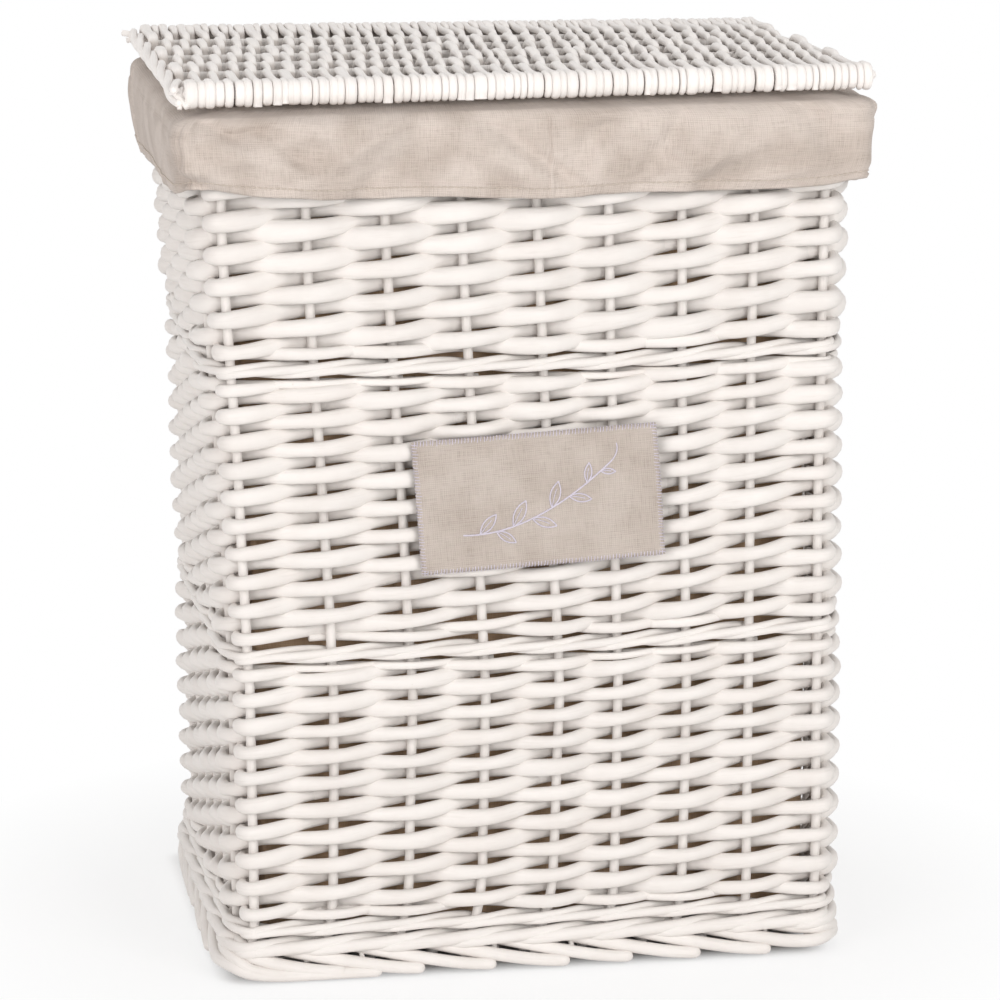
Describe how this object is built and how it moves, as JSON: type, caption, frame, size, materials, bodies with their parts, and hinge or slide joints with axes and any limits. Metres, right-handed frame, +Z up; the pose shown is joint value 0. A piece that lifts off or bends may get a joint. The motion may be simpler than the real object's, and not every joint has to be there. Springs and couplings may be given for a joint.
{
  "type": "laundry hamper",
  "caption": "Tall rectangular woven willow laundry hamper with a hinged woven lid and a linen liner turned down over the rim as a cuff.",
  "frame": {"origin": "on the floor, under the middle of the hamper", "axes": "+Z up, the front with the sewn-on patch faces -Y, +X to the right seen from the front"},
  "size_m": [0.454, 0.3404, 0.6059],
  "materials": {
    "willow_white": "thin matt white paint over willow rods",
    "linen": "plain woven natural linen",
    "cane": "natural cane, satin"
  },
  "bodies": {
    "basket": {"stakes_front": "willow_white", "stakes_right": "willow_white", "stakes_back": "willow_white", "stakes_left": "willow_white", "base_sticks": "willow_white", "base_weave": "willow_white", "foot_border": "willow_white", "wale_foot": "willow_white", "siding_front_lower": "willow_white", "siding_right_lower": "willow_white", "siding_back_lower": "willow_white", "siding_left_lower": "willow_white", "wale_lower": "willow_white", "siding_front_middle": "willow_white", "siding_right_middle": "willow_white", "siding_back_middle": "willow_white", "siding_left_middle": "willow_white", "wale_upper": "willow_white", "siding_front_upper": "willow_white", "siding_right_upper": "willow_white", "siding_back_upper": "willow_white", "siding_left_upper": "willow_white", "rim_border": "willow_white", "liner_bag": "linen", "liner_cuff": "linen", "label_patch": "linen", "hinge_loops": "cane"},
    "lid": {"lid_front_bar": "willow_white", "lid_back_bar": "willow_white", "lid_sticks": "willow_white", "lid_strands_left": "willow_white", "lid_strands_mid_left": "willow_white", "lid_strands_mid_right": "willow_white", "lid_strands_right": "willow_white", "lid_edge_left": "willow_white", "lid_edge_right": "willow_white"}
  },
  "joints": [
    {"name": "lid_hinge", "type": "hinge", "parent": "basket", "child": "lid", "pos_m": [0, 0.15288, 0.59644], "axis": [-1, 0, 0], "range_deg": [0, 115]}
  ]
}
